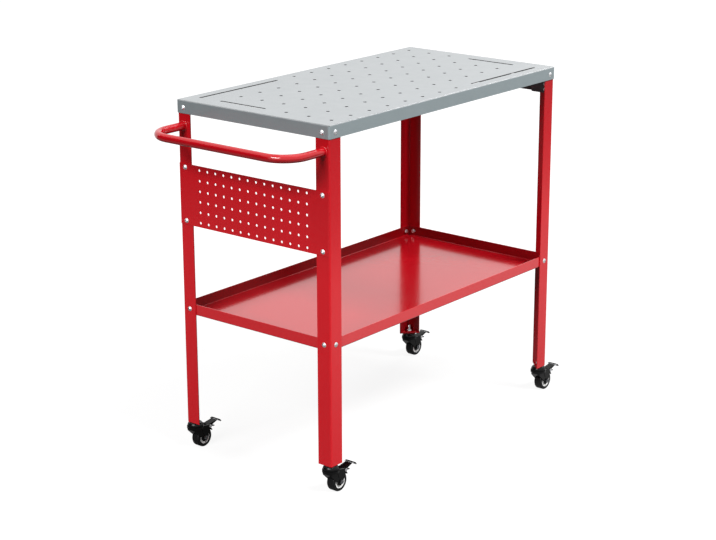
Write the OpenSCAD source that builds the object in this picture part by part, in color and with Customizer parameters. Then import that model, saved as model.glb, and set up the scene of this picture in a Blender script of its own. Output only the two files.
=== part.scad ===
// Mobile welding table: a perforated folded top on four angle legs, with a tray, a peg panel,
// a push handle and four braked swivel casters. Millimetres, +Z up, the floor at z = 0.
// +X runs along the table away from the handle, -Y is the front.

/* [Top] */
// Length of the top
top_l = 914; // [760:1:1220]
// Width of the top
top_w = 476; // [400:1:640]
// Height of the working surface above the floor
top_h = 897; // [780:1:1000]
// Thickness of the top sheet
top_t = 2; // [1.5:0.5:4]
// Depth of the skirt that is folded down round the top
skirt_h = 32; // [28:1:50]
// Inside radius of the skirt's folds
top_bend = 0.5; // [0.5:0.5:2]
// Distance from the working surface down to the screws of the top
top_screw = 18; // [16:0.5:20]

/* [Holes in the top] */
// Diameter of the round clamping holes
hole_d = 9; // [6:0.5:16]
// Distance from one clamping hole to the next
hole_pitch = 68; // [50:1:90]
// Least distance from the edge of the top to the middle of a hole
hole_edge = 30; // [24:1:34]
// Width of the clamping slots
slot_w = 8; // [5:0.5:12]
// Places in the grid that the slot along the length takes
slot_long = 5; // [3:1:5]
// Places in the grid that the slot along the width takes
slot_short = 3; // [2:1:3]

/* [Legs] */
// Width of each flange of a leg
leg_w = 40; // [36:1:50]
// Thickness of a leg
leg_t = 2.5; // [2:0.5:4]
// Inside radius of a leg's fold
leg_bend = 1.5; // [1:0.5:2]
// Gap between the top of a leg and the underside of the sheet
leg_gap = 2; // [2:0.5:4]
// Thickness of the triangular foot plate in each leg
foot_t = 3; // [2:0.5:5]

/* [Tray] */
// Height of the underside of the tray above the floor
tray_z = 360.5; // [200:0.5:500]
// Height of the tray's walls
tray_h = 28; // [22:1:50]
// Thickness of the tray's sheet
tray_t = 1.5; // [1:0.1:2.5]
// Inside radius of the tray's folds
tray_bend = 1.5; // [1:0.5:2.5]

/* [Peg panel] */
// Height of the underside of the panel above the floor
panel_z = 590.5; // [560:0.5:620]
// Height of the panel
panel_h = 152; // [120:1:180]
// Thickness of the panel
panel_t = 1.5; // [1:0.1:2.5]
// Distance from a leg's outer edge to the end of the panel
panel_inset = 2; // [1:0.5:5]
// Diameter of the peg holes
peg_d = 6.4; // [4:0.1:8]
// Distance from one peg hole to the next
peg_pitch = 26; // [20:0.5:32]
// Least distance from the panel's upper and lower edges to the middle of a peg hole
peg_edge = 10; // [8:0.5:10]
// Least distance from a leg's flange to the middle of a peg hole
peg_side = 15; // [8:0.5:26]
// Distance from the panel's upper and lower edges to its screws
panel_screw = 9.5; // [8:0.5:14]

/* [Handle] */
// Diameter of the handle's tube
handle_d = 20; // [16:0.5:25]
// Thickness of the handle's tube wall
handle_wall = 1.5; // [1:0.1:2.5]
// Distance from the legs to the middle of the handle's bar
handle_reach = 122; // [100:1:160]
// Radius of the handle's bends, at the middle of the tube
handle_bend = 64; // [35:1:70]
// Height of the handle above the floor
handle_z = 834.5; // [800:0.5:845]
// Distance from the legs' outer faces to the middle of each of the handle's ends
handle_inset = 18; // [17:0.5:22]

/* [End brace] */
// Height of the brace between the legs at the end without the handle
brace_h = 35; // [30:1:60]
// Width of the brace's folded edge
brace_lip = 20; // [12:1:30]
// Thickness of the brace
brace_t = 2; // [1.5:0.1:3]
// Distance from the skirt's lower edge down to the brace
brace_drop = 2; // [1:0.5:8]
// Depth of the brace's ears below its middle
ear_drop = 3; // [1:0.5:5]
// Length of the ears past the legs
ear_l = 25; // [15:1:40]

/* [Fasteners] */
// Diameter of the frame screws
screw_d = 6; // [5:0.5:6]
// Diameter of the screws' domed heads
head_d = 12.5; // [11:0.5:14]
// Height of the screws' heads
head_h = 3.4; // [2.5:0.1:4]
// Width across the flats of the frame nuts
nut_af = 10; // [9:0.5:10]
// Thickness of the frame nuts
nut_h = 5; // [4:0.5:6]
// Room round a screw in its hole
screw_play = 0.25; // [0.1:0.05:0.4]
// Room round a screw in its nut
thread_play = 0.05; // [0.02:0.01:0.08]
// Length of a screw that stands out of its nut
screw_end = 1; // [0.5:0.5:2]

/* [Casters] */
// Diameter of a wheel
wheel_d = 50; // [44:1:56]
// Width of a wheel
wheel_w = 22; // [16:1:24]
// Distance that a wheel trails behind its stem
trail = 22; // [20:0.5:28]
// Distance from the legs' outer faces to the stems
stem_inset = 13.5; // [12.5:0.5:15]
// Diameter of the threaded stems
stem_d = 8; // [7:0.5:9]
// Height of a stem above its foot plate
stem_rise = 20; // [14:1:30]
// Width across the flats of the stem nuts
stem_nut_af = 13; // [12:0.5:14]
// Thickness of the stem nuts
stem_nut_h = 6.5; // [5:0.5:8]
// Diameter of a fork's crown
crown_d = 42; // [38:1:46]
// Thickness of a fork's crown
crown_t = 3; // [2:0.5:4]
// Radius of a fork's upright front corners
fork_nose = 9; // [6:0.5:10]
// Distance from a wheel's top to the crown
crown_gap = 5; // [4.5:0.5:8]
// Diameter of the swivel bearing's balls
ball_d = 4; // [3:0.5:4.5]
// Number of balls in a swivel bearing
ball_count = 14; // [8:1:16]
// Height of a swivel head's cap above the balls
cap_h = 10.4; // [9:0.1:16]
// Thickness of a fork's sides
cheek_t = 2; // [1.5:0.1:2.5]
// Room between a fork's front and its wheel
fork_gap = 1.5; // [1:0.1:3]
// Room between a hub and each side of its fork
hub_gap = 0.4; // [0.3:0.05:0.6]
// Diameter of an axle
axle_d = 6; // [5:0.5:7]
// Diameter of a wheel's core where the tyre sits
core_d = 34; // [32:1:38]
// Diameter of the hub caps
hub_cap_d = 22; // [20:1:26]
// Thickness of the hub caps
hub_cap_t = 1; // [0.8:0.1:1.5]
// Running clearance round axles and pins
run_play = 0.06; // [0.03:0.01:0.09]

/* [Brake pedals] */
// Distance from a stem to the tip of its pedal
pedal_reach = 80; // [74:1:86]
// Width of a pedal's tread
pedal_w = 28; // [22:1:32]
// Length of a pedal's tread
pedal_l = 10; // [7:0.5:12]
// Height of a pedal's tread above the wheel's top
pedal_rise = 8; // [6:0.5:10]
// Depth of the lip at the tip of a pedal's tread
pedal_lip = 7; // [4:0.5:9]
// Thickness of a pedal
pedal_t = 2.5; // [2:0.1:3]
// Diameter of the pedals' pins
pin_d = 5; // [4:0.5:5]
// Distance from the tread of a wheel to its pedal's pin
pin_clear = 5.5; // [5.3:0.1:7]
// Distance from a pedal's pin to its brake shoe
shoe_l = 17; // [16:0.5:18]
// Gap between a brake shoe and its wheel with the pedal up
shoe_gap = 4; // [3.6:0.1:4.4]

/* [Hidden] */

$fn = 48;
// How far a cutting tool runs past the face that it cuts
past = 1;

// Heights of the casters, from the floor up
wheel_r = wheel_d / 2;
crown_z = wheel_d + crown_gap;
race_z = crown_z + crown_t;
ball_play = 0.2;
cap_z = race_z + ball_d + ball_play;
caster_h = cap_z + cap_h;

// The frame: the middle of the top lies off the origin, because the handle reaches further
// out at one end than the pedals do at the other
mid_x = (handle_reach + handle_d / 2 + stem_inset - pedal_reach) / 2;
face_x = top_l / 2 - top_t;
face_y = top_w / 2 - top_t;
sheet_z = top_h - top_t;
skirt_z = top_h - skirt_h;
screw_y = leg_w / 2;
// Inside radius of the top's upright corners, a little squarer than the legs' folds inside them
top_corner = leg_t + leg_bend - 0.5;
top_screw_z = top_h - top_screw;
tray_screw_z = tray_z + tray_h / 2;
panel_screw_zs = [panel_z + panel_screw, panel_z + panel_h - panel_screw];
brace_top = skirt_z - brace_drop;
brace_screw_zs = [brace_top - brace_h * 0.25, brace_top - brace_h * 0.75];

// The clamping holes: columns and rows on each side of the middle
cols = floor((top_l / 2 - hole_edge) / hole_pitch);
rows = floor((top_w / 2 - hole_edge) / hole_pitch);

// The peg holes
peg_room = 2 * (face_y - leg_w - peg_side);
peg_cols = floor(peg_room / peg_pitch) + 1;
peg_rows = floor((panel_h - 2 * peg_edge) / peg_pitch) + 1;

// The fork and the pedal, seen from the front with the stem at x = 0
cheek_y = wheel_w / 2 + 2 * hub_gap;
fork_y = cheek_y + cheek_t;
axle_at = [trail, wheel_r];
axle_boss = axle_d / 2 + 4.5;
pin_boss = pin_d / 2 + 1.5;
pin_far = wheel_r + pin_clear;
pin_turn = 54;
pin_at = axle_at + pin_far * [cos(pin_turn), sin(pin_turn)];
front_at = [-crown_d / 2 + 6, crown_z];
rear_at = [crown_d / 2 - 6, crown_z];
corner_r = 4;
shoe_r = 1.5;
shoe_far = wheel_r + shoe_gap + shoe_r;
shoe_turn = acos((pow(pin_far, 2) + pow(shoe_l, 2) - pow(shoe_far, 2)) / (2 * pin_far * shoe_l));
shoe_way = 180 + pin_turn + shoe_turn;
shoe_at = pin_at + shoe_l * [cos(shoe_way), sin(shoe_way)];
tread_z = wheel_d + pedal_rise;

// The hub inside a wheel
bush_r = axle_d / 2 + 2;
hub_face = cheek_y - hub_gap - hub_cap_t;

// Stands its children at the corner where a leg's outer faces meet, flanges along +x and +y
module at_leg(sx, sy) {
    translate([mid_x + sx * face_x, sy * face_y, 0])
        mirror([sx > 0 ? 1 : 0, 0, 0])
            mirror([0, sy > 0 ? 1 : 0, 0])
                children();
}

// Stands its children on the floor below a stem
module at_stem(sx, sy) {
    translate([mid_x + sx * (face_x - stem_inset), sy * (face_y - stem_inset), 0]) children();
}

// A rectangle about the origin with round corners
module plate_outline(lx, ly, r) {
    square([lx - 2 * r, ly], center = true);
    square([lx, ly - 2 * r], center = true);
    for (sx = [-1, 1], sy = [-1, 1])
        translate([sx * (lx / 2 - r), sy * (ly / 2 - r)]) circle(r);
}

// A rectangle that stands on the x axis, round at its two upper corners
module fold_outline(w, h, r) {
    translate([-w / 2, 0]) square([w, h - r]);
    translate([-w / 2 + r, 0]) square([w - 2 * r, h]);
    for (s = [-1, 1]) translate([s * (w / 2 - r), h - r]) circle(r);
}

// A rectangle with one corner at the origin, and that corner round
module corner_outline(a, b, r) {
    translate([r, 0]) square([a - r, b]);
    translate([0, r]) square([a, b - r]);
    translate([r, r]) circle(r);
}

// The section of an angle: one flange along x, one along y, with its fold round
module angle_section(a, b, t, bend) {
    difference() {
        corner_outline(a, b, bend + t);
        translate([t, t]) corner_outline(a, b, bend);
    }
}

// Two circles and the straight band that wraps both
module strap(a, ra, b, rb) {
    d = b - a;
    turn = atan2(d.y, d.x);
    tilt = acos((ra - rb) / norm(d));
    translate(a) circle(ra);
    translate(b) circle(rb);
    polygon([
        a + ra * [cos(turn + tilt), sin(turn + tilt)],
        a + ra * [cos(turn - tilt), sin(turn - tilt)],
        b + rb * [cos(turn - tilt), sin(turn - tilt)],
        b + rb * [cos(turn + tilt), sin(turn + tilt)]
    ]);
}

// A block that stands on z = 0, with round upright corners and its top folded round to each side
module pan_block(lx, ly, h, bend, corner) {
    intersection() {
        linear_extrude(h) plate_outline(lx, ly, corner);
        rotate([90, 0, 0]) linear_extrude(ly + 2 * past, center = true) fold_outline(lx, h, bend);
        rotate([90, 0, 90]) linear_extrude(lx + 2 * past, center = true) fold_outline(ly, h, bend);
    }
}

// A sheet folded down on all four sides, with its upper face at z = h; bend and corner are the
// inside radii of its folds and of its upright corners
module folded_pan(lx, ly, h, t, bend, corner) {
    difference() {
        pan_block(lx, ly, h, bend + t, corner + t);
        translate([0, 0, -past])
            pan_block(lx - 2 * t, ly - 2 * t, h - t + past, bend, corner);
    }
}

// A slot along x between two points of the x axis, for cutting from z = 0 up
module slot(x1, x2, h) {
    linear_extrude(h) strap([x1, 0], slot_w / 2, [x2, 0], slot_w / 2);
}

// A hex prism about the z axis
module hex(af, h) {
    linear_extrude(h) intersection_for(a = [0, 60, 120])
        rotate(a) square([af, 2 * af], center = true);
}

// A domed screw with its seat at z = 0, its head above and its shank below
module screw(grip) {
    dome_r = (pow(head_d / 2, 2) + pow(head_h, 2)) / (2 * head_h);
    slit_l = 5.2;
    slit_w = 1.1;
    slit_depth = 1.7;
    root = 0.5;
    difference() {
        union() {
            rotate_extrude() intersection() {
                translate([0, head_h - dome_r]) circle(dome_r, $fn = 96);
                square([head_d / 2, head_h]);
            }
            translate([0, 0, -grip - nut_h - screw_end])
                cylinder(d = screw_d, h = grip + nut_h + screw_end + root);
        }
        for (a = [45, 135]) rotate(a)
            translate([-slit_l / 2, -slit_w / 2, head_h - slit_depth])
                cube([slit_l, slit_w, slit_depth + past]);
    }
}

// The nut of such a screw
module nut(grip) {
    translate([0, 0, -grip - nut_h]) difference() {
        hex(nut_af, nut_h);
        translate([0, 0, -past])
            cylinder(r = screw_d / 2 + thread_play, h = nut_h + 2 * past);
    }
}

// Turns its children's +z to point out of a leg's x face, at a height z
module on_x_face(off, z) {
    translate([-off, screw_y, z]) rotate([0, -90, 0]) children();
}

// The same on a leg's y face
module on_y_face(off, z) {
    translate([screw_y, -off, z]) rotate([90, 0, 0]) children();
}

// The hole that a screw passes, through a sheet from z = -t to z = 0
module screw_hole(t) {
    translate([0, 0, -t - past]) cylinder(r = screw_d / 2 + screw_play, h = t + 2 * past);
}

// Whether a slot takes the place of a grid hole, i columns and j rows from the middle
function in_slot(i, j) =
    (j == rows && i < -cols + slot_long) || (i == -cols && j >= rows - slot_short);

module table_top() {
    color("lightgray") difference() {
        translate([mid_x, 0, skirt_z]) folded_pan(top_l, top_w, skirt_h, top_t, top_bend,
                                                     top_corner);
        translate([mid_x, 0, sheet_z - past]) {
            for (i = [-cols:cols], j = [-rows:rows])
                if (!in_slot(i, j) && !in_slot(-i, -j))
                    translate([i * hole_pitch, j * hole_pitch, 0])
                        cylinder(d = hole_d, h = top_t + 2 * past);
            for (turn = [0, 180]) rotate(turn) {
                translate([0, rows * hole_pitch, 0])
                    slot(-cols * hole_pitch, (slot_long - 1 - cols) * hole_pitch,
                         top_t + 2 * past);
                translate([-cols * hole_pitch, 0, 0]) rotate(90)
                    slot((rows - slot_short) * hole_pitch, (rows - 1) * hole_pitch,
                         top_t + 2 * past);
            }
        }
        for (sx = [-1, 1], sy = [-1, 1]) at_leg(sx, sy) {
            on_x_face(top_t, top_screw_z) screw_hole(top_t);
            on_y_face(top_t, top_screw_z) screw_hole(top_t);
        }
    }
}

// A leg; the panel's screws pass the left legs and the brace's screws the right ones
module leg(sx, sy) {
    color("firebrick") at_leg(sx, sy) difference() {
        translate([0, 0, caster_h]) linear_extrude(sheet_z - leg_gap - caster_h)
            angle_section(leg_w, leg_w, leg_t, leg_bend);
        for (z = [top_screw_z, tray_screw_z]) {
            on_x_face(0, z) screw_hole(leg_t);
            on_y_face(0, z) screw_hole(leg_t);
        }
        for (z = sx < 0 ? panel_screw_zs : brace_screw_zs) on_x_face(0, z) screw_hole(leg_t);
    }
}

module foot_plates() {
    color("firebrick") for (sx = [-1, 1], sy = [-1, 1]) at_leg(sx, sy)
        translate([0, 0, caster_h]) difference() {
            linear_extrude(foot_t) polygon([
                [leg_t + leg_bend, leg_t], [leg_w, leg_t], [leg_t, leg_w], [leg_t, leg_t + leg_bend]
            ]);
            translate([stem_inset, stem_inset, -past])
                cylinder(r = stem_d / 2 + screw_play, h = foot_t + 2 * past);
        }
}

module end_brace() {
    half = face_y - leg_t - leg_bend;
    ear = leg_w - leg_t - leg_bend + ear_l;
    inner_x = mid_x + face_x - leg_t;
    color("dimgray") difference() {
        union() {
            translate([inner_x, 0, brace_top]) rotate([90, 180, 0])
                linear_extrude(2 * half, center = true)
                    angle_section(brace_lip, brace_h, brace_t, brace_t);
            for (s = [-1, 1])
                translate([inner_x - brace_t, s > 0 ? half - ear : -half,
                           brace_top - brace_h - ear_drop])
                    cube([brace_t, ear, brace_h / 2]);
        }
        for (sy = [-1, 1], z = brace_screw_zs) at_leg(1, sy)
            on_x_face(-leg_t, z) screw_hole(brace_t);
    }
}

module tray() {
    color("firebrick") difference() {
        translate([mid_x, 0, tray_z + tray_h]) rotate([180, 0, 0])
            folded_pan(2 * (face_x - leg_t), 2 * (face_y - leg_t), tray_h, tray_t, tray_bend,
                       tray_bend);
        for (sx = [-1, 1], sy = [-1, 1]) at_leg(sx, sy) {
            on_x_face(-leg_t, tray_screw_z) screw_hole(tray_t);
            on_y_face(-leg_t, tray_screw_z) screw_hole(tray_t);
        }
    }
}

module peg_panel() {
    width = 2 * (face_y - panel_inset);
    color("firebrick") difference() {
        translate([mid_x - face_x - panel_t, -width / 2, panel_z])
            cube([panel_t, width, panel_h]);
        translate([mid_x - face_x - panel_t - past, 0, panel_z + panel_h / 2])
            for (i = [0:peg_cols - 1], j = [0:peg_rows - 1])
                translate([0, (i - (peg_cols - 1) / 2) * peg_pitch,
                           (j - (peg_rows - 1) / 2) * peg_pitch])
                    rotate([0, 90, 0]) cylinder(d = peg_d, h = panel_t + 2 * past, $fn = 32);
        for (sy = [-1, 1], z = panel_screw_zs) at_leg(-1, sy)
            on_x_face(panel_t, z) screw_hole(panel_t);
    }
}

// The handle's run as a round bar of diameter d: arm, bend, bar, bend, arm
module handle_run(d, extra) {
    arm_y = face_y - handle_inset;
    arm_l = handle_reach - handle_bend;
    for (s = [-1, 1]) {
        translate([-arm_l, s * arm_y, 0]) rotate([0, 90, 0]) cylinder(d = d, h = arm_l + extra);
        translate([-arm_l, s * (arm_y - handle_bend), 0])
            rotate(s > 0 ? 90 : 180) rotate_extrude(angle = 90)
                translate([handle_bend, 0]) circle(d = d);
    }
    translate([-handle_reach, -arm_y + handle_bend, 0]) rotate([-90, 0, 0])
        cylinder(d = d, h = 2 * (arm_y - handle_bend));
}

module handle() {
    color("firebrick") translate([mid_x - face_x, 0, handle_z]) difference() {
        handle_run(handle_d, 0);
        handle_run(handle_d - 2 * handle_wall, past);
    }
}

module top_screws() {
    color("silver") for (sx = [-1, 1], sy = [-1, 1]) at_leg(sx, sy) {
        on_x_face(top_t, top_screw_z) screw(top_t + leg_t);
        on_y_face(top_t, top_screw_z) screw(top_t + leg_t);
    }
}

module top_nuts() {
    color("silver") for (sx = [-1, 1], sy = [-1, 1]) at_leg(sx, sy) {
        on_x_face(top_t, top_screw_z) nut(top_t + leg_t);
        on_y_face(top_t, top_screw_z) nut(top_t + leg_t);
    }
}

module tray_screws() {
    color("silver") for (sx = [-1, 1], sy = [-1, 1]) at_leg(sx, sy) {
        on_x_face(0, tray_screw_z) screw(leg_t + tray_t);
        on_y_face(0, tray_screw_z) screw(leg_t + tray_t);
    }
}

module tray_nuts() {
    color("silver") for (sx = [-1, 1], sy = [-1, 1]) at_leg(sx, sy) {
        on_x_face(0, tray_screw_z) nut(leg_t + tray_t);
        on_y_face(0, tray_screw_z) nut(leg_t + tray_t);
    }
}

module panel_screws() {
    color("silver") for (sy = [-1, 1], z = panel_screw_zs)
        at_leg(-1, sy) on_x_face(panel_t, z) screw(panel_t + leg_t);
}

module panel_nuts() {
    color("silver") for (sy = [-1, 1], z = panel_screw_zs)
        at_leg(-1, sy) on_x_face(panel_t, z) nut(panel_t + leg_t);
}

module brace_screws() {
    color("silver") for (sy = [-1, 1], z = brace_screw_zs)
        at_leg(1, sy) on_x_face(0, z) screw(leg_t + brace_t);
}

module brace_nuts() {
    color("silver") for (sy = [-1, 1], z = brace_screw_zs)
        at_leg(1, sy) on_x_face(0, z) nut(leg_t + brace_t);
}

module stem_nuts() {
    color("silver") for (sx = [-1, 1], sy = [-1, 1]) at_stem(sx, sy)
        translate([0, 0, caster_h + foot_t]) difference() {
            hex(stem_nut_af, stem_nut_h);
            translate([0, 0, -past])
                cylinder(r = stem_d / 2 + thread_play, h = stem_nut_h + 2 * past);
        }
}

// The stem with the swivel head's cap on it; the balls run in a groove under the cap, and the
// rivet head below holds the fork
module stem() {
    cap_r = crown_d / 2 - 1.6;
    shoulder = 9;
    groove = ball_d + 2.5;
    rim_z = race_z + 0.4;
    rivet_h = 3;
    color("silver") translate([0, 0, crown_z - 0.3 - rivet_h])
        cylinder(d = stem_d + 6, h = rivet_h);
    color("silver") translate([0, 0, crown_z - 0.3 - rivet_h])
        cylinder(d = stem_d, h = caster_h + foot_t + stem_rise - crown_z + 0.3 + rivet_h);
    color("black") rotate_extrude() difference() {
        intersection() {
            translate([0, rim_z]) square([cap_r, caster_h - rim_z]);
            union() {
                square([cap_r, caster_h - shoulder]);
                square([cap_r - shoulder, caster_h]);
                translate([cap_r - shoulder, caster_h - shoulder]) circle(shoulder);
            }
        }
        translate([ball_ring() - groove / 2, race_z])
            square([groove, ball_d + ball_play]);
    }
}

// Radius of the ring of balls
function ball_ring() = crown_d / 2 - 7;

module balls() {
    color("silver") for (i = [0:ball_count - 1]) rotate(i * 360 / ball_count)
        translate([ball_ring(), 0, race_z + ball_d / 2 + 0.05]) sphere(d = ball_d);
}

// Turns an outline drawn in x and height into a plate of thickness t, from y to y + t
module upright(y, t) {
    translate([0, y + t, 0]) rotate([90, 0, 0]) linear_extrude(t) children();
}

// A side of the fork, seen from the front and made smaller by inset all round
module side_outline(inset) {
    strap(front_at, corner_r - inset, axle_at, axle_boss - inset);
    strap(axle_at, axle_boss - inset, pin_at, pin_boss - inset);
    strap(rear_at, corner_r - inset, pin_at, pin_boss - inset);
    polygon([front_at, axle_at, pin_at, rear_at]);
}

// The fork's form below its crown, seen from above, with the front corners round
module plan_outline(inset) {
    reach = pedal_reach + crown_d;
    translate([reach / 2 - crown_d / 2 + 1.5, 0])
        plate_outline(reach - 2 * inset, 2 * (fork_y - inset), fork_nose - inset);
}

// The pressed sheet of the fork: two sides and the sloping front that joins them
module fork_sheet() {
    intersection() {
        difference() {
            upright(-fork_y, 2 * fork_y) side_outline(0);
            intersection() {
                upright(-fork_y, 2 * fork_y) {
                    side_outline(cheek_t);
                    translate(axle_at) circle(wheel_r + fork_gap);
                    translate([rear_at.x, 0]) square([2 * crown_d, caster_h]);
                }
                translate([0, 0, -past]) linear_extrude(caster_h) plan_outline(cheek_t);
            }
        }
        linear_extrude(race_z) plan_outline(0);
    }
}

// The bulge pressed into each side of the fork
module side_rib() {
    rib_r = 2.4;
    rib_h = 0.7;
    rib_top = [rear_at.x - 4, crown_z - 3];
    rib_foot = axle_at + [-6, 14];
    for (y = [-fork_y - rib_h, fork_y]) upright(y, rib_h)
        strap(rib_top, rib_r, rib_foot, rib_r);
}

module fork() {
    cup_wall = 1.2;
    cup_h = 3;
    color("black") difference() {
        union() {
            translate([0, 0, crown_z]) cylinder(d = crown_d, h = crown_t);
            translate([0, 0, race_z]) difference() {
                cylinder(d = crown_d, h = cup_h);
                translate([0, 0, -past]) cylinder(d = crown_d - 2 * cup_wall, h = cup_h + 2 * past);
            }
            fork_sheet();
            side_rib();
        }
        translate([0, 0, crown_z - past])
            cylinder(r = stem_d / 2 + run_play, h = crown_t + 2 * past);
        translate([axle_at.x, 0, axle_at.y]) rotate([90, 0, 0])
            cylinder(r = axle_d / 2 + run_play, h = 4 * wheel_w, center = true);
        translate([pin_at.x, 0, pin_at.y]) rotate([90, 0, 0])
            cylinder(r = pin_d / 2 + run_play, h = 4 * wheel_w, center = true);
    }
}

// A hex bolt through both sides of the fork, with its nut
module axle() {
    bolt_head_h = 3.5;
    root = 0.5;
    color("silver") translate([axle_at.x, 0, axle_at.y]) rotate([90, 0, 0]) {
        translate([0, 0, fork_y]) hex(nut_af, bolt_head_h);
        translate([0, 0, -fork_y - nut_h - screw_end])
            cylinder(d = axle_d, h = 2 * fork_y + nut_h + screw_end + root);
        translate([0, 0, -fork_y - nut_h]) difference() {
            hex(nut_af, nut_h);
            translate([0, 0, -past])
                cylinder(r = axle_d / 2 + thread_play, h = nut_h + 2 * past);
        }
    }
}

// The dark hub: a cap against each side of the core, with a bush that runs on the axle
module hub_caps() {
    color("dimgray") for (s = [-1, 1])
        translate([axle_at.x, 0, axle_at.y]) rotate([s * 90, 0, 0])
            rotate_extrude() {
                translate([axle_d / 2 + run_play, 0])
                    square([bush_r - axle_d / 2 - run_play, hub_face + hub_cap_t]);
                translate([axle_d / 2 + run_play, hub_face])
                    square([hub_cap_d / 2 - axle_d / 2 - run_play, hub_cap_t]);
            }
}

// The light core, turned about the axle: a boss, a web and a rim
module core() {
    rim_t = 2.5;
    web = wheel_w / 2 - 3;
    bore = bush_r + thread_play;
    color("whitesmoke") translate([axle_at.x, 0, axle_at.y]) rotate([90, 0, 0])
        rotate_extrude() {
            translate([bore, -hub_face]) square([hub_cap_d / 2 - 1 - bore, 2 * hub_face]);
            translate([bore, -web]) square([core_d / 2 - bore, 2 * web]);
            translate([core_d / 2 - rim_t, -hub_face]) square([rim_t, 2 * hub_face]);
        }
}

module tyre() {
    shoulder = 3;
    seat = core_d / 2 + thread_play;
    color("black") translate([axle_at.x, 0, axle_at.y]) rotate([90, 0, 0])
        rotate_extrude($fn = 96) {
            translate([seat, -wheel_w / 2]) square([wheel_r - shoulder - seat, wheel_w]);
            translate([seat, -wheel_w / 2 + shoulder])
                square([wheel_r - seat, wheel_w - 2 * shoulder]);
            for (s = [-1, 1])
                translate([wheel_r - shoulder, s * (wheel_w / 2 - shoulder)]) circle(shoulder);
        }
}

// The lever: the tread that is trodden on, the release tab below it and the shoe at the wheel
module pedal() {
    arm_w = wheel_w - 4;
    arm_r = pedal_t / 2;
    tread_at = [pedal_reach - pedal_l / 2, tread_z - arm_r];
    tip_at = [pedal_reach - arm_r, tread_z - pedal_lip + arm_r];
    tab_at = pin_at + [19, -5];
    color("black") difference() {
        union() {
            upright(-arm_w / 2, arm_w) {
                strap(pin_at, pin_boss, [pedal_reach - pedal_l, tread_at.y], arm_r);
                strap(pin_at, shoe_r, shoe_at, shoe_r);
                strap(pin_at, pin_boss / 2, tab_at, arm_r);
            }
            upright(-pedal_w / 2, pedal_w) {
                strap([pedal_reach - pedal_l, tread_at.y], arm_r, tread_at, arm_r);
                strap(tread_at, arm_r, tip_at, arm_r);
            }
        }
        translate([pin_at.x, 0, pin_at.y]) rotate([90, 0, 0])
            cylinder(r = pin_d / 2 + run_play, h = 2 * pedal_w, center = true);
    }
}

// The rivet that the pedal turns on
module pin() {
    rivet_h = 1.5;
    color("silver") translate([pin_at.x, 0, pin_at.y]) rotate([90, 0, 0]) {
        cylinder(d = pin_d, h = 2 * fork_y + 2 * rivet_h, center = true);
        for (s = [-1, 1]) translate([0, 0, s * (fork_y + rivet_h / 2)])
            cylinder(d = pin_d + 3, h = rivet_h, center = true);
    }
}

table_top();
leg(-1, -1);  // leg_front_left
leg(-1, 1);  // leg_rear_left
leg(1, -1);  // leg_front_right
leg(1, 1);  // leg_rear_right
foot_plates();
end_brace();
tray();
peg_panel();
handle();
top_screws();
top_nuts();
tray_screws();
tray_nuts();
panel_screws();
panel_nuts();
brace_screws();
brace_nuts();
stem_nuts();
at_stem(-1, -1) stem();  // caster_fl_stem
at_stem(-1, -1) balls();  // caster_fl_balls
at_stem(-1, -1) fork();  // caster_fl_fork
at_stem(-1, -1) axle();  // caster_fl_axle
at_stem(-1, -1) hub_caps();  // caster_fl_hub_caps
at_stem(-1, -1) core();  // caster_fl_core
at_stem(-1, -1) tyre();  // caster_fl_tyre
at_stem(-1, -1) pedal();  // caster_fl_pedal
at_stem(-1, -1) pin();  // caster_fl_pin
at_stem(-1, 1) stem();  // caster_rl_stem
at_stem(-1, 1) balls();  // caster_rl_balls
at_stem(-1, 1) fork();  // caster_rl_fork
at_stem(-1, 1) axle();  // caster_rl_axle
at_stem(-1, 1) hub_caps();  // caster_rl_hub_caps
at_stem(-1, 1) core();  // caster_rl_core
at_stem(-1, 1) tyre();  // caster_rl_tyre
at_stem(-1, 1) pedal();  // caster_rl_pedal
at_stem(-1, 1) pin();  // caster_rl_pin
at_stem(1, -1) stem();  // caster_fr_stem
at_stem(1, -1) balls();  // caster_fr_balls
at_stem(1, -1) fork();  // caster_fr_fork
at_stem(1, -1) axle();  // caster_fr_axle
at_stem(1, -1) hub_caps();  // caster_fr_hub_caps
at_stem(1, -1) core();  // caster_fr_core
at_stem(1, -1) tyre();  // caster_fr_tyre
at_stem(1, -1) pedal();  // caster_fr_pedal
at_stem(1, -1) pin();  // caster_fr_pin
at_stem(1, 1) stem();  // caster_rr_stem
at_stem(1, 1) balls();  // caster_rr_balls
at_stem(1, 1) fork();  // caster_rr_fork
at_stem(1, 1) axle();  // caster_rr_axle
at_stem(1, 1) hub_caps();  // caster_rr_hub_caps
at_stem(1, 1) core();  // caster_rr_core
at_stem(1, 1) tyre();  // caster_rr_tyre
at_stem(1, 1) pedal();  // caster_rr_pedal
at_stem(1, 1) pin();  // caster_rr_pin
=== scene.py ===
"""Looks of the mobile welding table: finishes, welds, nuts, threads, camera, light and floor."""

import math

import bmesh
import bpy
import numpy as np
from mathutils import Matrix, Vector


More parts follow.
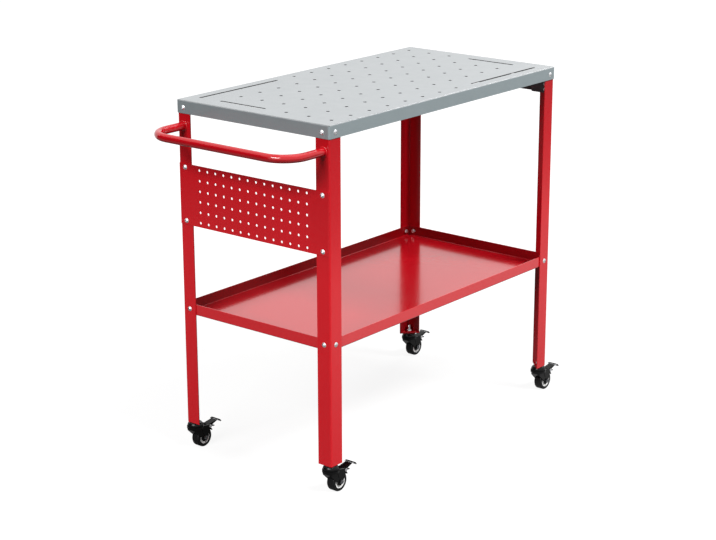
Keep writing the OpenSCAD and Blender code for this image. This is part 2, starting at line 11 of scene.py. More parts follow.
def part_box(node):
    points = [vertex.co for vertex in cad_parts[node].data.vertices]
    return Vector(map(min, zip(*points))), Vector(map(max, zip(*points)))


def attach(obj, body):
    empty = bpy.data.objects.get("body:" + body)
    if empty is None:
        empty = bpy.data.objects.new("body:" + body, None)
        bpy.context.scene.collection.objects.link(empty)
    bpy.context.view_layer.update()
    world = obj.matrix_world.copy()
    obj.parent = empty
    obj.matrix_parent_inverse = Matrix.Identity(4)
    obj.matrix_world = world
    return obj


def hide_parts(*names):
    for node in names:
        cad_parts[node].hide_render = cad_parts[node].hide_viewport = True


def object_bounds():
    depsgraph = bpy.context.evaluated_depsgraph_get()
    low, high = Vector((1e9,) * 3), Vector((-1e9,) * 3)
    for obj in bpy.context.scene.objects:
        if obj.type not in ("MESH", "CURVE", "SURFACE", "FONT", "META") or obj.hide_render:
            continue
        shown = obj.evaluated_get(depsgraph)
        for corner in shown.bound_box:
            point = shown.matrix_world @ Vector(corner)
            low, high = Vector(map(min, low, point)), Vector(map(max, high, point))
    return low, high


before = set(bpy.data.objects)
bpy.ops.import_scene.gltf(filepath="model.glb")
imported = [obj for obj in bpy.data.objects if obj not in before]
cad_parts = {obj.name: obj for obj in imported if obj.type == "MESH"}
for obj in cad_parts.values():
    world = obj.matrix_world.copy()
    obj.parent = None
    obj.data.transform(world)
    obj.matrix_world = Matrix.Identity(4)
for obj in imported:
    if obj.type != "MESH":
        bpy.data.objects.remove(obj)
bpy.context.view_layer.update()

MM = 0.001
CORNERS = ("fl", "rl", "fr", "rr")
GROUPS = ("top", "tray", "panel", "brace")

# Sizes of the small parts, as the part's source has them. A pedal's tread is TREAD_L long, and its flat
# starts TREAD_FLAT behind the tip. TRAY_BEND is the height of the bend between tray floor and wall.
SCREW_R = 3.0 * MM
NUT_AF = 10.0 * MM
NUT_H = 5.0 * MM
SCREW_END = 1.0 * MM
STEM_R = 4.0 * MM
STEM_NUT_AF = 13.0 * MM
NUT_ROOM = 0.05 * MM
HANDLE_R = 10.0 * MM
LEG_W = 40.0 * MM
LEG_T = 2.5 * MM
TOP_T = 2.0 * MM
TREAD_L = 10.0 * MM
TREAD_FLAT = 5.0 * MM
TRAY_BEND = 3.5 * MM

# How far a finish's inner region stays away from an outer face, and from the top's two faces
EDGE_IN = 1.0 * MM
EDGE_SKIN = 0.2 * MM

# How bright the room looks in the mirror image of a mirror image
SECOND_MIRROR = 0.2

# The reds and the black, as the shaders take them. The four reds after POWDER_RED are painted shade.
POWDER_RED = (0.60, 0.007, 0.014)
PAINTED_SHADE_TOP_RED = (0.42, 0.003, 0.008)
PAINTED_SHADE_INNER_RED = (0.38, 0.003, 0.008)
PAINTED_SHADE_WALL_RED = (0.24, 0.0015, 0.004)
PAINTED_SHADE_HANDLE_RED = (0.36, 0.0025, 0.007)
ENAMEL_BLACK = (0.002, 0.002, 0.0023)

# The heights between which painted shade deepens the frame's red towards the top
PAINTED_SHADE_FROM_Z = 0.53
PAINTED_SHADE_FULL_Z = 0.86

# The frame's planes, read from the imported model
top_lo, top_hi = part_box("table_top")
leg_lo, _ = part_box("leg_front_left")
_, foot_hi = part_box("foot_plates")
handle_lo, handle_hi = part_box("handle")
tray_lo, tray_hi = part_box("tray")
MID_X = (top_lo.x + top_hi.x) / 2
FACE_X = MID_X - leg_lo.x
FACE_Y = -leg_lo.y
STEM_BOXES = [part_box(f"caster_{corner}_stem") for corner in CORNERS]
STEM_X = [(lo.x + hi.x) / 2 for lo, hi in STEM_BOXES]
STEM_Y = [(lo.y + hi.y) / 2 for lo, hi in STEM_BOXES]


# Materials

class Graph:
    """A node tree under construction, and short ways to add nodes to it."""

    def __init__(self, owner):
        owner.use_nodes = True
        self.tree = owner.node_tree
        self.tree.nodes.clear()

    def node(self, kind, **settings):
        """A new node with some of its properties set."""
        made = self.tree.nodes.new(kind)
        for key, value in settings.items():
            setattr(made, key, value)
        return made

    def link(self, out, into):
        """Joins one node's output to another one's input."""
        self.tree.links.new(out, into)

    def object_place(self):
        """Each point's place in the frame's coordinates, as every object lies at the origin."""
        return self.node("ShaderNodeTexCoord").outputs["Object"]

    def apart(self, vector):
        """The three coordinates of a vector."""
        made = self.node("ShaderNodeSeparateXYZ")
        self.link(vector, made.inputs[0])
        return made.outputs

    def math(self, operation, a, b=None):
        """One step of arithmetic on one or two values, each a number or another node's output."""
        made = self.node("ShaderNodeMath", operation=operation)
        for socket, value in zip(made.inputs, (a, b)):
            if value is None:
                continue
            if isinstance(value, (int, float)):
                socket.default_value = value
            else:
                self.link(value, socket)
        return made.outputs[0]

    def mirror_rays(self, rays):
        """1 for rays from a first mirroring, and SECOND_MIRROR for those that were mirrored before."""
        more_than_once = 1.5
        again = self.math("GREATER_THAN", rays["Glossy Depth"], more_than_once)
        brightness = self.between(again, 0.0, 1.0, 1.0, SECOND_MIRROR)
        return self.math("MULTIPLY", rays["Is Glossy Ray"], brightness)

    def between(self, value, low, high, out_low, out_high, curve="LINEAR"):
        """Maps a value from low..high to out_low..out_high, held at both ends."""
        made = self.node("ShaderNodeMapRange", interpolation_type=curve)
        for socket, number in (("From Min", low), ("From Max", high),
                               ("To Min", out_low), ("To Max", out_high)):
            made.inputs[socket].default_value = number
        self.link(value, made.inputs["Value"])
        return made.outputs["Result"]


class Finish(Graph):
    """One material under construction: a Principled shader and the small nodes that feed it."""

    def __init__(self, name, color, metallic=0.0, roughness=0.4, coat=0.0, coat_roughness=0.05,
                 specular=0.5):
        self.material = bpy.data.materials.new(name)
        super().__init__(self.material)
        output = self.node("ShaderNodeOutputMaterial")
        self.shader = self.node("ShaderNodeBsdfPrincipled")
        self.link(self.shader.outputs["BSDF"], output.inputs["Surface"])
        for socket, value in (("Base Color", (*color, 1.0)), ("Metallic", metallic),
                              ("Roughness", roughness), ("Coat Weight", coat),
                              ("Coat Roughness", coat_roughness), ("Specular IOR Level", specular)):
            self.shader.inputs[socket].default_value = value
        self.color = color
        self.place = self.object_place()
        self.height = None

    def stretched(self, scale):
        """Object coordinates stretched by a factor along each axis."""
        mapping = self.node("ShaderNodeMapping")
        mapping.inputs["Scale"].default_value = scale
        self.link(self.place, mapping.inputs["Vector"])
        return mapping.outputs["Vector"]

    def noise(self, size, detail=3.0, roughness=0.5, stretch=(1, 1, 1)):
        """Noise whose blobs are about size metres across."""
        made = self.node("ShaderNodeTexNoise")
        made.inputs["Scale"].default_value = 1.0 / size
        made.inputs["Detail"].default_value = detail
        made.inputs["Roughness"].default_value = roughness
        self.link(self.stretched(stretch), made.inputs["Vector"])
        return made.outputs["Fac"]

    def blend(self, factor, a, b):
        """Mixes two colours; each is a plain colour or another node's output."""
        made = self.node("ShaderNodeMix", data_type="RGBA")
        sockets = [s for s in made.inputs if s.type == "RGBA"]
        for socket, value in zip(sockets, (a, b)):
            if isinstance(value, tuple):
                socket.default_value = (*value, 1.0)
            else:
                self.link(value, socket)
        self.link(factor, made.inputs["Factor"])
        return [s for s in made.outputs if s.type == "RGBA"][0]

    def tint(self, factor, other):
        """Blends the finish's colour towards another one."""
        source = self.shader.inputs["Base Color"]
        before = source.links[0].from_socket if source.links else self.color
        self.link(self.blend(factor, before, other), source)

    def inside(self, lo, hi):
        """1 within a box of the frame's coordinates and 0 outside it."""
        within = None
        for out, a, b in zip(self.apart(self.place), lo, hi):
            off_middle = self.math("ABSOLUTE", self.math("SUBTRACT", out, (a + b) / 2))
            held = self.math("LESS_THAN", off_middle, (b - a) / 2)
            within = held if within is None else self.math("MULTIPLY", within, held)
        return within

    def vary(self, socket, value, low, high, out_low, out_high):
        """Feeds one of the shader's sockets with a value mapped from low..high to out_low..out_high."""
        self.link(self.between(value, low, high, out_low, out_high), self.shader.inputs[socket])

    def bump(self, value, depth, strength=1.0):
        """Adds a bump of the given depth in metres on top of the earlier ones."""
        made = self.node("ShaderNodeBump")
        made.inputs["Distance"].default_value = depth
        made.inputs["Strength"].default_value = strength
        self.link(value, made.inputs["Height"])
        if self.height is not None:
            self.link(self.height, made.inputs["Normal"])
        self.height = made.outputs["Normal"]
        self.link(self.height, self.shader.inputs["Normal"])


def powder_coat(name, color, shade, roughness, peel, **gloss):
    """Baked powder: fine orange peel, slow changes of tone and a few dull smudges from handling."""
    f = Finish(name, color, roughness=roughness, **gloss)
    f.tint(f.between(f.noise(0.16, 2.0), 0.35, 0.7, 0.0, 1.0), shade)
    f.vary("Roughness", f.noise(0.035, 4.0), 0.3, 0.75, roughness * 0.93, roughness * 1.1)
    f.bump(f.noise(0.0016, 2.0), peel)
    f.bump(f.noise(0.011, 1.0), peel * 1.6)
    return f


def top_grey():
    """The work surface's silver grey coat: its flakes mirror a little, with faint wipes and fine specks.
    The folds below the sheet are a bluer grey, and the walls of the holes and slots are dark, a painted
    shade."""
    silver, shade = (0.342, 0.36, 0.37), (0.332, 0.35, 0.36)
    wiped, speck = (0.362, 0.38, 0.39), (0.3, 0.32, 0.33)
    fold, painted_hole_shade = (0.325, 0.38, 0.397), (0.03, 0.032, 0.034)
    f = powder_coat("table_grey", silver, shade, 0.34, 0.00001, metallic=0.5)
    wipes = f.noise(0.03, 3.0, 0.5, (0.1, 1.0, 1.0))
    f.tint(f.between(wipes, 0.5, 0.75, 0.0, 0.2), wiped)
    specks = f.noise(0.0022, 1.0)
    f.tint(f.between(specks, 0.76, 0.82, 0.0, 0.4), speck)
    sheet_under = top_hi.z - TOP_T
    f.tint(f.math("LESS_THAN", f.apart(f.place)["Z"], sheet_under - EDGE_SKIN), fold)
    # Painted shade on the walls of the holes and slots.
    f.tint(f.inside((top_lo.x + EDGE_IN, top_lo.y + EDGE_IN, sheet_under + EDGE_SKIN),
                    (top_hi.x - EDGE_IN, top_hi.y - EDGE_IN, top_hi.z - EDGE_SKIN)), painted_hole_shade)
    return f.material


def frame_red(name, roughness, color=POWDER_RED, high=None, within=None, walls=None, **gloss):
    """The red powder coat, with painted shade: deeper towards the upper of two heights, deeper inside one
    box and deepest inside another, by the walls."""
    f = powder_coat(name, color, tuple(c * 0.95 for c in color), roughness, 0.000012, **gloss)
    # Painted shade: the red grows deeper towards the upper height.
    if high:
        f.tint(f.between(f.apart(f.place)["Z"], *high, 0.0, 1.0), PAINTED_SHADE_TOP_RED)
    # Painted shade: deeper red inside the first box, deepest by the walls inside the second.
    if within:
        f.tint(f.inside(*within), PAINTED_SHADE_INNER_RED)
    if walls:
        f.tint(f.inside(*walls), PAINTED_SHADE_WALL_RED)
    return f.material


def brace_grey():
    """The brace's dark grey powder, with a coarser peel than the reds."""
    charcoal, shade = (0.052, 0.056, 0.06), (0.04, 0.043, 0.047)
    return powder_coat("brace_dark_grey", charcoal, shade, 0.42, 0.00003).material


def bright_zinc(name, roughness, color=(0.86, 0.87, 0.88)):
    """Bright zinc plate: cloudy blue and straw tints, uneven gloss and a fine grain."""
    blue, straw = (0.66, 0.69, 0.76), (0.8, 0.76, 0.62)
    f = Finish(name, color, metallic=1.0, roughness=roughness)
    f.tint(f.between(f.noise(0.004, 3.0), 0.35, 0.7, 0.0, 0.5), blue)
    f.tint(f.between(f.noise(0.007, 2.0), 0.55, 0.8, 0.0, 0.4), straw)
    f.vary("Roughness", f.noise(0.0016, 3.0), 0.3, 0.7, roughness * 0.75, roughness * 1.4)
    f.bump(f.noise(0.0006, 2.0), 0.000006)
    return f


def stem_and_head():
    """The swivel head's black dome. Within the stem's radius and below the fork's crown it is bright zinc,
    for the stem and its rivet."""
    zinc, crown_under, room = (0.76, 0.77, 0.79), 56.0 * MM, 0.2 * MM
    f = Finish("head_black_and_zinc", ENAMEL_BLACK, roughness=0.18, coat=0.1, specular=0.2)
    x, y, z = f.apart(f.place)
    off_x = f.math("SUBTRACT", f.math("ABSOLUTE", f.math("SUBTRACT", x, MID_X)), abs(STEM_X[0] - MID_X))
    off_y = f.math("SUBTRACT", f.math("ABSOLUTE", y), abs(STEM_Y[0]))
    away = f.math("SQRT", f.math("ADD", f.math("POWER", off_x, 2.0), f.math("POWER", off_y, 2.0)))
    shank = f.math("LESS_THAN", away, STEM_R + room)
    below = f.math("LESS_THAN", z, crown_under)
    bright = f.math("MAXIMUM", shank, below)
    f.tint(bright, zinc)
    f.link(bright, f.shader.inputs["Metallic"])
    f.vary("Roughness", f.noise(0.006, 3.0), 0.3, 0.7, 0.2, 0.32)
    f.bump(f.noise(0.002, 2.0), 0.00001)
    return f.material


def black_coat(name, roughness, highlight_boxes=(), specular=0.2):
    """Black stoved enamel on pressed steel: glossy, with soft ripples and a little dust. Inside each of the
    highlight boxes it turns in patches to a pale steel colour, a painted highlight."""
    dust, steel = (0.012, 0.0115, 0.011), (0.72, 0.73, 0.75)
    f = Finish(name, ENAMEL_BLACK, roughness=roughness, coat=0.1, coat_roughness=0.04, specular=specular)
    f.tint(f.between(f.noise(0.006, 4.0), 0.66, 0.9, 0.0, 0.35), dust)
    f.vary("Roughness", f.noise(0.004, 3.0), 0.3, 0.7, roughness * 0.8, roughness * 1.35)
    f.bump(f.noise(0.0025, 2.0), 0.00004)
    # Painted highlight: pale steel colour in patches within each box.
    for lo, hi in highlight_boxes:
        painted_highlight = f.math("MULTIPLY", f.inside(lo, hi), f.between(f.noise(0.0015), 0.35, 0.5, 0.3, 1.0))
        f.tint(painted_highlight, steel)
    return f.material


def tyre_black():
    """Dark tyre: a satin skin with fine grain and pale dust where it has rolled."""
    rubber, dust = (0.005, 0.005, 0.0055), (0.025, 0.0245, 0.024)
    f = Finish("tyre_black", rubber, roughness=0.38, specular=0.25)
    f.tint(f.between(f.noise(0.005, 5.0, 0.7), 0.6, 0.9, 0.0, 0.4), dust)
    f.vary("Roughness", f.noise(0.003, 4.0), 0.3, 0.7, 0.3, 0.48)
    f.bump(f.noise(0.0007, 3.0), 0.00004)
    return f.material


def core_white():
    """Moulded white core: glossy, slightly warm, with faint flow marks."""
    white, flow_mark = (0.93, 0.93, 0.92), (0.86, 0.86, 0.84)
    f = Finish("core_white", white, roughness=0.25, coat=0.3)
    f.tint(f.between(f.noise(0.009, 3.0), 0.5, 0.8, 0.0, 0.5), flow_mark)
    f.bump(f.noise(0.004, 2.0), 0.00003)
    return f.material


def hub_black():
    """The hub caps' black plastic: satin, with a fine grain and faintly greyer patches."""
    black, greyer = (0.005, 0.005, 0.0055), (0.012, 0.012, 0.012)
    f = Finish("hub_black", black, roughness=0.35, specular=0.3)
    f.tint(f.between(f.noise(0.003, 3.0), 0.5, 0.8, 0.0, 0.5), greyer)
    f.bump(f.noise(0.0009, 3.0), 0.00002)
    return f.material


def polished_steel():
    """The bearing balls' steel: a mirror with duller, greased patches."""
    steel, greased = (0.7, 0.71, 0.72), (0.5, 0.5, 0.5)
    f = Finish("ball_polished_steel", steel, metallic=1.0, roughness=0.1)
    f.vary("Roughness", f.noise(0.001, 3.0), 0.3, 0.7, 0.06, 0.16)
    f.tint(f.between(f.noise(0.002, 2.0), 0.4, 0.8, 0.0, 0.4), greased)
    return f.material


def tread_bend_highlights():
    """A thin box along the bend behind each pedal's tread, for a painted highlight."""
    bend_w = 2.2 * MM
    boxes = []
    for corner in CORNERS:
        lo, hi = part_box(f"caster_{corner}_pedal")
        bend = hi.x - TREAD_L
        boxes.append(((bend - bend_w, lo.y, hi.z - bend_w), (bend, hi.y, hi.z - EDGE_SKIN)))
    return boxes


# Painted shade: the frame's red is deeper within this box, on the legs' inner faces.
leg_painted_shade_box = ((MID_X - FACE_X + EDGE_IN, -FACE_Y + EDGE_IN, 0.0),
              (MID_X + FACE_X - EDGE_IN, FACE_Y - EDGE_IN, top_hi.z))
# Painted shade: the tray's red is deeper on its inside, and deepest on its walls above the bend.
tray_painted_shade_box = (tray_lo + Vector((EDGE_IN, EDGE_IN, 0.0)), tray_hi - Vector((EDGE_IN, EDGE_IN, 0.0)))
tray_wall_painted_shade_box = (tray_lo + Vector((EDGE_IN, EDGE_IN, TRAY_BEND)),
              tray_hi - Vector((EDGE_IN, EDGE_IN, EDGE_IN)))
# The frame's red carries painted shade towards the top and on the legs' inner faces.
RED = frame_red("frame_red", 0.2, high=(PAINTED_SHADE_FROM_Z, PAINTED_SHADE_FULL_Z), within=leg_painted_shade_box)
TRAY_RED = frame_red("tray_red", 0.17, within=tray_painted_shade_box, walls=tray_wall_painted_shade_box, specular=0.85, coat=0.2)
# Painted shade: the handle's red is a darker copy of the frame's red.
HANDLE_RED = frame_red("handle_red", 0.12, PAINTED_SHADE_HANDLE_RED, specular=0.5, coat=0.15)
ZINC = bright_zinc("bright_zinc", 0.33).material
DARK_ZINC = bright_zinc("dark_zinc", 0.3, (0.09, 0.09, 0.095)).material
BLACK = black_coat("fork_black", 0.16)
PEDAL_BLACK = black_coat("pedal_black", 0.13, tread_bend_highlights(), specular=0.08)

finishes = {"table_top": top_grey(), "end_brace": brace_grey(), "tray": TRAY_RED, "handle": HANDLE_RED,
            "stem_nuts": ZINC}
for name in ("leg_front_left", "leg_rear_left", "leg_front_right", "leg_rear_right",
             "foot_plates", "peg_panel"):
    finishes[name] = RED
for group in GROUPS:
    finishes[f"{group}_screws"] = finishes[f"{group}_nuts"] = ZINC
wheel_finishes = {"stem": stem_and_head(), "balls": polished_steel(), "fork": BLACK, "axle": DARK_ZINC,
                  "hub_caps": hub_black(), "core": core_white(), "tyre": tyre_black(),
                  "pedal": PEDAL_BLACK, "pin": ZINC}
for corner in CORNERS:
    for part, finish in wheel_finishes.items():
        finishes[f"caster_{corner}_{part}"] = finish

for name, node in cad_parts.items():
    node.data.materials.clear()
    node.data.materials.append(finishes[name])


# Surfaces worked out with numpy

def surface(name, sheets, body, material, wrap_u=False, wrap_v=False):
    """Makes one piece from grids of points shaped (copies, along u, along v, 3). Each grid becomes a sheet
    of quads, which closes round u or v where wrapped."""
    copies, n_u, n_v = sheets.shape[:3]
    k, i, j = np.meshgrid(np.arange(copies), np.arange(n_u - (not wrap_u)), np.arange(n_v - (not wrap_v)),
                          indexing="ij")
    first = k * n_u * n_v
    next_i, next_j = (i + 1) % n_u, (j + 1) % n_v
    quads = np.stack([first + i * n_v + j, first + next_i * n_v + j,
                      first + next_i * n_v + next_j, first + i * n_v + next_j], -1).reshape(-1, 4)
    mesh = bpy.data.meshes.new(name)
    mesh.vertices.add(copies * n_u * n_v)
    mesh.vertices.foreach_set("co", sheets.astype(np.float32).ravel())
    mesh.loops.add(quads.size)
    mesh.loops.foreach_set("vertex_index", quads.astype(np.int32).ravel())
    mesh.polygons.add(len(quads))
    mesh.polygons.foreach_set("loop_start", np.arange(0, quads.size, 4, dtype=np.int32))
    mesh.update(calc_edges=True)
    mesh.validate()
    work = bmesh.new()
    work.from_mesh(mesh)
    bmesh.ops.remove_doubles(work, verts=work.verts, dist=1e-6)
    bmesh.ops.recalc_face_normals(work, faces=work.faces)
    work.to_mesh(mesh)
    work.free()
    mesh.shade_smooth()
    piece = bpy.data.objects.new(name, mesh)
    bpy.context.scene.collection.objects.link(piece)
    piece.data.materials.append(material)
    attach(piece, body)
    return piece


def carried(path, along, section, across):
    """A section carried along a path: a point is the path's point plus the section's first value times
    across plus its second value times along. The path and the two directions are shaped (n, 3), and the
    section is shaped (n, m, 2)."""
    return path[:, None] + section[..., :1] * across[:, None] + section[..., 1:] * along[:, None]


def turn(n):
    """n angles round a full circle, without the last one, which is the first again."""
    return np.linspace(0.0, 2 * math.pi, n, endpoint=False)


def circle(n):
    """n points round a circle of radius 1, as pairs of cosine and sine."""
    angle = turn(n)
    return np.stack([np.cos(angle), np.sin(angle)], -1)


def everywhere(direction, n):
    """One direction, repeated for n points."""
    return np.broadcast_to(direction, (n, 3))


def blunt_ends(n, power):
    """Thickness along a run from -1 to 1: the root of 1 less t to an even power, so only its ends are
    rounded off."""
    t = np.linspace(-1.0, 1.0, n)
    return np.sqrt(np.clip(1.0 - t ** power, 0.0, 1.0))


def bead_ripple(scales, n, depth):
    """Height of a weld bead at n points along its run: overlapping scales, each rising slowly, as the place
    within it to the power 0.6, and falling fast."""
    phase = np.linspace(0.0, scales, n) % 1.0
    return 1.0 + depth * (phase ** 0.6 - 0.5)


def handle_welds():
    """A rippled ring round each end of the handle: a bead's circle carried round the tube's circle."""
    n, scales, ripple = 180, 30, 0.22
    round_tube = turn(n)
    bead_r = 1.9 * MM * bead_ripple(scales, n, ripple)
    ring_r = HANDLE_R + 0.5 * MM
    before_leg = 0.2 * MM
    section = bead_r[:, None, None] * circle(14)[None]
    out = np.stack([np.zeros(n), np.cos(round_tube), np.sin(round_tube)], -1)
    rings = []
    for side in (-1, 1):
        y = side * (handle_hi.y - HANDLE_R)
        z = (handle_lo.z + handle_hi.z) / 2
        path = np.array([leg_lo.x - before_leg, y, z]) + ring_r * out
        rings.append(carried(path, everywhere([-1.0, 0.0, 0.0], n), section, out))
    return surface("handle_welds", np.array(rings), "frame", RED, wrap_u=True, wrap_v=True)


def foot_welds():
    """A rippled bead on each foot plate along both flanges of its leg, thinning to nothing at its ends."""
    n, scales, ripple = 90, 14, 0.25
    bead_r = 1.7 * MM * bead_ripple(scales, n, ripple) * blunt_ends(n, 8)
    section = bead_r[:, None, None] * circle(12)[None]
    start, stop = LEG_T + 3.0 * MM, LEG_W - 4.0 * MM
    step = start + (stop - start) * np.linspace(0.0, 1.0, n)
    beads = []
    for sx in (-1, 1):
        for sy in (-1, 1):
            corner = np.array([MID_X + sx * FACE_X, sy * FACE_Y, foot_hi.z])
            inward = np.array([-sx, -sy, 0.0])
            for axis in (0, 1):
                path = corner + np.zeros((n, 3))
                path[:, axis] += inward[axis] * step
                path[:, 1 - axis] += inward[1 - axis] * LEG_T
                across = np.zeros((n, 3))
                across[:, 1 - axis] = inward[1 - axis]
                beads.append(carried(path, everywhere([0.0, 0.0, 1.0], n), section, across))
    return surface("foot_welds", np.array(beads), "frame", RED, wrap_v=True)


def nut_sheet(af, height, bore_r, n=72):
    """A chamfered hex nut about +z: the wall's radius is the hexagon's, af / 2 over the cosine of the angle
    to the nearest flat, and a 30 degree cone from each face trims the corners."""
    angle = turn(n)
    to_flat = (angle + math.pi / 6) % (math.pi / 3) - math.pi / 6
    wall = af / 2 / np.cos(to_flat)
    face_share, slope, lip = 0.96, math.tan(math.radians(30)), 0.35 * MM
    face_r = af / 2 * face_share
    drop = np.clip(wall - face_r, 0.0, None) * slope
    outline = [(bore_r, lip), (bore_r + lip, 0.0), (face_r, 0.0), (wall, drop), (wall, height - drop),
               (face_r, height), (bore_r + lip, height), (bore_r, height - lip), (bore_r, lip)]
    radius = np.stack([np.broadcast_to(r, n) for r, _ in outline], -1)
    z = np.stack([np.broadcast_to(h, n) for _, h in outline], -1)
    return np.stack([radius * np.cos(angle)[:, None], radius * np.sin(angle)[:, None], z], -1)


def thread_sheet(radius, pitch, length):
    """A screw thread about +z: a triangle carried up a helix. Its depth is a share of the pitch and fades
    to nothing over a third of a turn at both ends."""
    steps_per_turn, fewest_steps, fades_per_turn, depth_share = 28, 24, 3, 0.28
    turns = length / pitch
    n = max(int(turns * steps_per_turn), fewest_steps)
    t = np.linspace(0.0, 1.0, n)
    angle = 2 * math.pi * turns * t
    depth = depth_share * pitch * np.clip(np.minimum(t, 1 - t) * turns * fades_per_turn, 0.0, 1.0)
    out = np.stack([np.cos(angle), np.sin(angle), np.zeros(n)], -1)
    path = radius * out
    path[:, 2] = length * t
    triangle = np.array([[0.8, 0.0], [-0.4, 1.5], [-0.4, -1.5]])
    section = depth[:, None, None] * triangle[None]
    return carried(path, everywhere([0.0, 0.0, 1.0], n), section, out)


def placed(sheet, at, axis):
    """Turns a sheet's +z to the given axis and moves its origin to a point."""
    rotation = np.array(Vector((0, 0, 1)).rotation_difference(Vector(axis)).to_matrix())
    return sheet @ rotation.T + np.array(at)


def fastener_places(group):
    """The middle and the two corners of each nut of a group, worked out from the CAD nuts' islands."""
    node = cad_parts[f"{group}_nuts"]
    co = np.zeros(len(node.data.vertices) * 3, np.float32)
    node.data.vertices.foreach_get("co", co)
    co = co.reshape(-1, 3).astype(float)
    reach = NUT_AF * 1.5
    places = []
    left = np.ones(len(co), bool)
    while left.any():
        seed = co[np.argmax(left)]
        near = left & (np.abs(co - seed).max(1) < reach)
        lo, hi = co[near].min(0), co[near].max(0)
        places.append(((lo + hi) / 2, lo, hi))
        left &= ~near
    return places


def frame_nuts(group):
    """The chamfered nuts of one group of screws, each seated against the inside of its leg or sheet, and
    the threads of the screws' ends."""
    sunk = 0.2 * MM
    sheet = nut_sheet(NUT_AF, NUT_H, SCREW_R + NUT_ROOM)
    end = thread_sheet(SCREW_R - 0.1 * MM, 1.0 * MM, SCREW_END + 2 * sunk)
    nuts, threads = [], []
    for mid, lo, hi in fastener_places(group):
        along = int(np.argmin(hi - lo))
        centre = (MID_X, 0.0, 0.0)[along]
        inward = np.zeros(3)
        inward[along] = -math.copysign(1.0, mid[along] - centre)
        seat = mid - inward * NUT_H / 2
        nuts.append(placed(sheet, seat, inward))
        threads.append(placed(end, seat + inward * (NUT_H - sunk), inward))
    piece = surface(f"{group}_hex_nuts", np.array(nuts), "frame", ZINC, wrap_u=True)
    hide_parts(f"{group}_nuts")
    surface(f"{group}_screw_threads", np.array(threads), "frame", ZINC, wrap_v=True)


def stem_nuts_and_threads():
    """The chamfered nuts on the foot plates and the threads of the stems' ends above them."""
    nut_lo, nut_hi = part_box("stem_nuts")
    stem_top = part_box("caster_fl_stem")[1].z
    above_nut, below_top = 0.1 * MM, 0.5 * MM
    nut = nut_sheet(STEM_NUT_AF, nut_hi.z - nut_lo.z, STEM_R + NUT_ROOM)
    thread = thread_sheet(STEM_R, 1.25 * MM, stem_top - nut_hi.z - above_nut - below_top)
    nuts, threads = [], []
    for x, y in zip(STEM_X, STEM_Y):
        nuts.append(placed(nut, (x, y, nut_lo.z), (0, 0, 1)))
        threads.append(placed(thread, (x, y, nut_hi.z + above_nut), (0, 0, 1)))
    piece = surface("stem_hex_nuts", np.array(nuts), "frame", ZINC, wrap_u=True)
    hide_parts("stem_nuts")
    surface("stem_threads", np.array(threads), "frame", ZINC, wrap_v=True)


def pedal_grips(corner):
    """Ribs across the flat of a pedal's tread: round bars whose middles lie below the face, and which close
    at both ends."""
    lo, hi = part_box(f"caster_{corner}_pedal")
    n, count = 40, 3
    rib_r, sunk = 0.7 * MM, 0.35 * MM
    first, pitch = TREAD_FLAT + 0.4 * MM, 1.9 * MM
    width = hi.y - lo.y - 5.0 * MM
    y = (lo.y + hi.y) / 2 + np.linspace(-1.0, 1.0, n) * width / 2
    section = rib_r * blunt_ends(n, 10)[:, None, None] * circle(12)[None]
    ribs = []
    for k in range(count):
        path = np.stack([np.full(n, hi.x - first - pitch * k), y, np.full(n, hi.z - sunk)], -1)
        ribs.append(carried(path, everywhere([0.0, 0.0, 1.0], n), section, everywhere([1.0, 0.0, 0.0], n)))
    return surface(f"pedal_{corner}_grips", np.array(ribs), f"pedal_{corner}", PEDAL_BLACK,
                   wrap_v=True)


handle_welds()
foot_welds()
for group in GROUPS:
    frame_nuts(group)
stem_nuts_and_threads()
for corner in CORNERS:
    pedal_grips(corner)


# Floor, light and camera

# The floor's glow for camera rays near the table, and the two distances between which it grows to full
GLOW_NEAR = 0.88
GLOW_FROM = 0.5
GLOW_FULL_AT = 2.2

# The floor's glow for mirror rays, in front of the table, on its right and behind it
MIRRORED_FRONT = 0.03
MIRRORED_RIGHT = 0.5
MIRRORED_BEHIND = 0.8


def studio_sheet(name, corners, material):
    """One four-cornered sheet of the studio."""
    mesh = bpy.data.meshes.new(name)
    mesh.from_pydata(corners, [], [(0, 1, 2, 3)])
    mesh.materials.append(material)
    sheet = bpy.data.objects.new(name, mesh)
    bpy.context.scene.collection.objects.link(sheet)
    return sheet


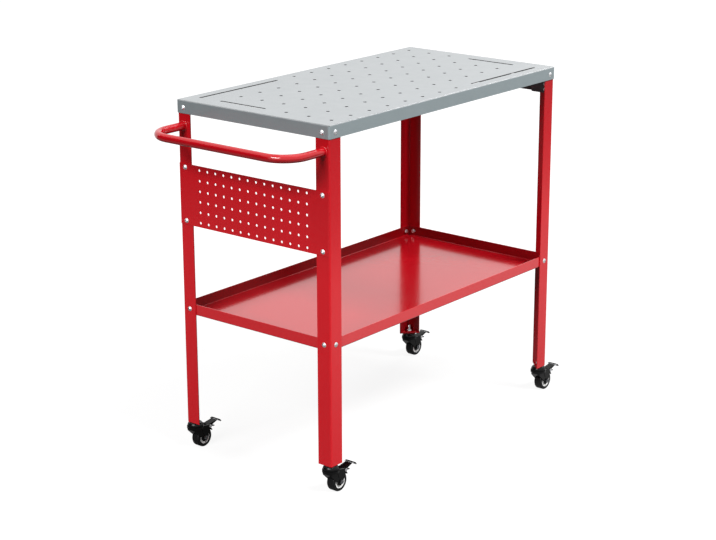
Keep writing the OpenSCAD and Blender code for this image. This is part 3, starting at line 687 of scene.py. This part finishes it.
def pale_floor():
    """A white floor that takes the shadow. Camera rays also see a plain glow, so that it stays white.
    Mirror rays see a weaker one, as in a studio with a white back, a pale right side, and a dark left
    side and front."""
    material = bpy.data.materials.new("floor_white")
    g = Graph(material)
    rays = g.node("ShaderNodeLightPath").outputs
    place = g.object_place()
    length = g.node("ShaderNodeVectorMath", operation="LENGTH")
    g.link(place, length.inputs[0])
    away = length.outputs["Value"]
    x, y, _ = g.apart(place)
    direct = g.math("MAXIMUM", rays["Is Camera Ray"], rays["Is Transmission Ray"])
    seen = g.between(away, GLOW_FROM, GLOW_FULL_AT, GLOW_NEAR, 1.0, "SMOOTHSTEP")
    right_start, right_full = -1.0, 2.2
    right = g.between(g.math("SUBTRACT", x, y), right_start, right_full, 0.0, 1.0, "SMOOTHSTEP")
    front_end, front_start = -1.85, -1.1
    front = g.between(y, front_end, front_start, MIRRORED_FRONT, MIRRORED_RIGHT, "SMOOTHSTEP")
    pale = g.math("MULTIPLY", right, front)
    behind_start, behind_full = 1.5, 3.0
    behind = g.between(g.math("ADD", x, y), behind_start, behind_full, 0.0, MIRRORED_BEHIND, "SMOOTHSTEP")
    mirrored = g.math("MAXIMUM", pale, behind)
    glow = g.node("ShaderNodeEmission")
    shown = g.math("MULTIPLY", direct, seen)
    reflected = g.math("MULTIPLY", g.mirror_rays(rays), mirrored)
    g.link(g.math("ADD", shown, reflected), glow.inputs["Strength"])
    diffuse = g.node("ShaderNodeBsdfDiffuse")
    diffuse.inputs["Color"].default_value = (0.12, 0.12, 0.12, 1.0)
    total = g.node("ShaderNodeAddShader")
    g.link(diffuse.outputs[0], total.inputs[0])
    g.link(glow.outputs[0], total.inputs[1])
    g.link(total.outputs[0], g.node("ShaderNodeOutputMaterial").inputs["Surface"])
    lo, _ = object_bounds()
    half = 14.0
    floor = studio_sheet("floor", [(-half, -half, lo.z), (half, -half, lo.z), (half, half, lo.z),
                                   (-half, half, lo.z)], material)


def studio_world(ambient):
    """A white room for camera, mirror and glass rays, and a weaker one for the light that falls on the
    table. What is mirrored twice sees it dimmed."""
    world = bpy.data.worlds.new("studio")
    bpy.context.scene.world = world
    g = Graph(world)
    rays = g.node("ShaderNodeLightPath").outputs
    direct = g.math("MAXIMUM", rays["Is Camera Ray"], rays["Is Transmission Ray"])
    seen = g.math("MAXIMUM", direct, g.mirror_rays(rays))
    background = g.node("ShaderNodeBackground")
    background.inputs["Color"].default_value = (1.0, 1.0, 1.0, 1.0)
    g.link(g.between(seen, 0.0, 1.0, ambient, 1.0), background.inputs["Strength"])
    g.link(background.outputs[0], g.node("ShaderNodeOutputWorld").inputs["Surface"])


def dark_side():
    """A dark backdrop behind the left side, which only mirror rays see. It keeps the reds it faces deep."""
    material = bpy.data.materials.new("backdrop_dark")
    g = Graph(material)
    diffuse = g.node("ShaderNodeBsdfDiffuse")
    diffuse.inputs["Color"].default_value = (0.02, 0.02, 0.02, 1.0)
    g.link(diffuse.outputs[0], g.node("ShaderNodeOutputMaterial").inputs["Surface"])
    left, right, top = (-4.3, 0.9), (-1.05, 3.1), 2.8
    card = studio_sheet("dark_side", [(*left, 0.0), (*right, 0.0), (*right, top), (*left, top)], material)
    card.visible_camera = False
    card.visible_diffuse = False
    card.visible_shadow = False


def softbox(name, at, look_at, size, watts, mirrored=True):
    """A rectangular lamp turned to a point. The camera never sees it, and mirror rays do if mirrored."""
    light = bpy.data.lights.new(name, "AREA")
    light.shape = "RECTANGLE"
    light.size, light.size_y = size
    light.energy = watts
    lamp = bpy.data.objects.new(name, light)
    bpy.context.scene.collection.objects.link(lamp)
    lamp.location = at
    lamp.rotation_euler = (Vector(look_at) - Vector(at)).to_track_quat("-Z", "Y").to_euler()
    lamp.visible_camera = False
    lamp.visible_glossy = mirrored


def photo_camera():
    """The photograph's viewpoint: its place and turn come from a camera fitted to the table's own sizes."""
    picture_w_px, focal_px, sensor_mm = 716, 1819.1, 36.0
    place = Vector((MID_X - 3.49369, -2.79259, 1.77261))
    yaw, pitch, roll = 0.6833853, 0.2962929, -0.0023043
    ahead = Vector((math.cos(pitch) * math.cos(yaw), math.cos(pitch) * math.sin(yaw), -math.sin(pitch)))
    right = ahead.cross(Vector((0, 0, 1))).normalized()
    up = right.cross(ahead)
    turned_right = right * math.cos(roll) + up * math.sin(roll)
    turned_up = up * math.cos(roll) - right * math.sin(roll)
    data = bpy.data.cameras.new("photo_camera")
    data.sensor_width = sensor_mm
    data.sensor_fit = "HORIZONTAL"
    data.lens = focal_px / picture_w_px * sensor_mm
    data.clip_end = 100.0
    camera = bpy.data.objects.new("photo_camera", data)
    bpy.context.scene.collection.objects.link(camera)
    axes = Matrix((turned_right, turned_up, -ahead)).transposed()
    camera.matrix_world = Matrix.Translation(place) @ axes.to_4x4()
    bpy.context.scene.camera = camera


pale_floor()
dark_side()
studio_world(ambient=0.04)
softbox("overhead", (0.3, -0.4, 3.4), (0.0, 0.0, 0.6), size=(3.2, 2.4), watts=22.0)
softbox("front", (0.7, -6.4, 7.9), (0.1, 0.0, 0.5), size=(5.2, 2.0), watts=1400.0, mirrored=False)
softbox("handle_side", (-7.3, -0.8, 5.5), (-0.3, 0.0, 0.5), size=(4.0, 2.0), watts=700.0)
softbox("behind", (-0.3, 5.0, 2.5), (0.0, 0.2, 0.6), size=(3.0, 1.0), watts=100.0, mirrored=False)
softbox("far_end", (6.0, 0.9, 4.9), (0.3, 0.0, 0.5), size=(3.0, 1.5), watts=130.0)
photo_camera()

scene = bpy.context.scene
scene.view_settings.view_transform = "Standard"
